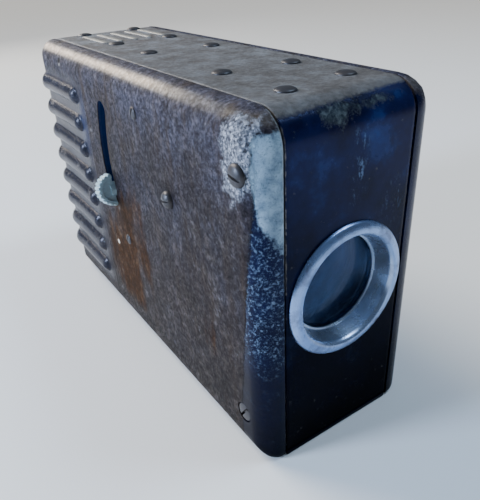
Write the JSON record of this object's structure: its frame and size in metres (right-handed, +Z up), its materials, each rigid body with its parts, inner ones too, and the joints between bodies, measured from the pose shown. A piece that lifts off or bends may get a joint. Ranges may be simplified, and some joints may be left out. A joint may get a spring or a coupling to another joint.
{
  "type": "vintage box camera with side lever",
  "caption": "Narrow sheet-metal box film camera with a round front objective, ribbed rear grips and a thumb lever in an arc slot that works the shutter.",
  "frame": {"origin": "on the base's underside, half way along the body and half way across it", "axes": "+Z up, the lens looks along -Y, the lever and its slot are on the -X side"},
  "size_m": [0.0691, 0.1661, 0.1113],
  "materials": {
    "wrap_enamel": "worn dark blue-black enamel, glossy on the front and dull grey-brown on the top",
    "side_enamel": "aged brown-grey wrinkle enamel with rust stains and bare metal at the front corner",
    "bright_metal": "turned and brushed",
    "nickel": "polished nickel with dirt in the serrations",
    "dark_steel": "oxidised",
    "plate_steel": "zinc-grey",
    "gear_brass": "machined",
    "spring_steel": "blued grey",
    "black_paint": "matt black",
    "lens_glass": "hazed, lightly scratched"
  },
  "bodies": {
    "body": {"wrap_cover": "wrap_enamel", "base_plate": "side_enamel", "left_cover": "side_enamel", "front_upper_screw": "dark_steel", "front_lower_screw": "dark_steel", "middle_upper_screw": "dark_steel", "middle_lower_screw": "dark_steel", "lever_pivot_screw": "dark_steel", "top_rivet_1": "dark_steel", "top_rivet_2": "dark_steel", "top_rivet_3": "dark_steel", "top_rivet_4": "dark_steel", "top_rivet_5": "dark_steel", "top_rivet_6": "dark_steel", "top_rivet_7": "dark_steel", "top_rivet_8": "dark_steel", "top_rivet_9": "dark_steel", "top_rivet_10": "dark_steel", "lens_bezel": "bright_metal", "lens_barrel": "black_paint", "front_lens": "lens_glass", "lens_spacer": "black_paint", "rear_lens": "lens_glass", "lens_retaining_ring": "black_paint", "aperture_plate": "black_paint", "left_chassis": "plate_steel", "right_chassis": "plate_steel", "cross_pillar_1": "plate_steel", "cross_pillar_2": "plate_steel", "cross_pillar_3": "plate_steel", "light_tunnel": "black_paint", "film_gate": "plate_steel", "pressure_bracket": "plate_steel", "pressure_spring": "spring_steel", "supply_spindle": "plate_steel", "lower_roller_pin": "plate_steel", "upper_roller_pin": "plate_steel", "return_spring": "spring_steel"},
    "lever": {"lever_arm": "plate_steel", "thumb_piece": "nickel", "sector_gear": "gear_brass"},
    "shutter": {"shutter_shaft": "plate_steel", "shutter_pinion": "gear_brass", "shutter_flap": "black_paint"},
    "supply_spool": {"supply_core": "plate_steel", "supply_flange_left": "black_paint", "supply_flange_right": "black_paint"},
    "takeup_spool": {"takeup_shaft": "plate_steel", "takeup_core": "plate_steel", "takeup_flange_left": "black_paint", "takeup_flange_right": "black_paint", "ratchet_wheel": "gear_brass"},
    "pawl": {"ratchet_pawl": "plate_steel"},
    "lower_roller": {"lower_guide_roller": "plate_steel"},
    "upper_roller": {"upper_guide_roller": "plate_steel"},
    "pressure": {"pressure_plate": "plate_steel"},
    "loading_cover": {"right_cover": "side_enamel"},
    "latch": {"latch_knob": "dark_steel", "latch_tongue": "plate_steel"}
  },
  "joints": [
    {"name": "lever_swing", "type": "hinge", "parent": "body", "child": "lever", "pos_m": [-0.025, -0.0347, 0.075], "axis": [1, 0, 0], "range_deg": [0, 35], "stiffness_Nm_per_rad": 0.12, "springref_deg": -20.05},
    {"name": "shutter_turn", "type": "hinge", "parent": "body", "child": "shutter", "pos_m": [0, -0.04604, 0.043], "axis": [1, 0, 0], "range_deg": [-105, 0]},
    {"name": "supply_turn", "type": "hinge", "parent": "body", "child": "supply_spool", "pos_m": [0, 0.0563, 0.028], "axis": [1, 0, 0], "continuous": true},
    {"name": "takeup_turn", "type": "hinge", "parent": "body", "child": "takeup_spool", "pos_m": [0, 0.0563, 0.082], "axis": [1, 0, 0], "continuous": true},
    {"name": "pawl_lift", "type": "hinge", "parent": "body", "child": "pawl", "pos_m": [-0.024, 0.0458, 0.095], "axis": [1, 0, 0], "range_deg": [-12, 0], "stiffness_Nm_per_rad": 0.002, "springref_deg": 17.19},
    {"name": "lower_roller_turn", "type": "hinge", "parent": "body", "child": "lower_roller", "pos_m": [0, 0.0318, 0.028], "axis": [1, 0, 0], "continuous": true},
    {"name": "upper_roller_turn", "type": "hinge", "parent": "body", "child": "upper_roller", "pos_m": [0, 0.0318, 0.081], "axis": [1, 0, 0], "continuous": true},
    {"name": "pressure_travel", "type": "slide", "parent": "body", "child": "pressure", "axis": [0, 1, 0], "range_m": [0, 0.0015], "stiffness_N_per_m": 400, "springref_m": -0.003, "deforming": ["pressure_spring"]},
    {"name": "cover_lift_off", "type": "slide", "parent": "body", "child": "loading_cover", "axis": [1, 0, 0], "range_m": [0, 0.05]},
    {"name": "latch_turn", "type": "hinge", "parent": "loading_cover", "child": "latch", "pos_m": [0.03, -0.0217, 0.055], "axis": [1, 0, 0], "range_deg": [0, 90]}
  ],
  "couplings": [
    {"joint": "shutter_turn", "follows": "lever_swing", "ratio": -3}
  ]
}
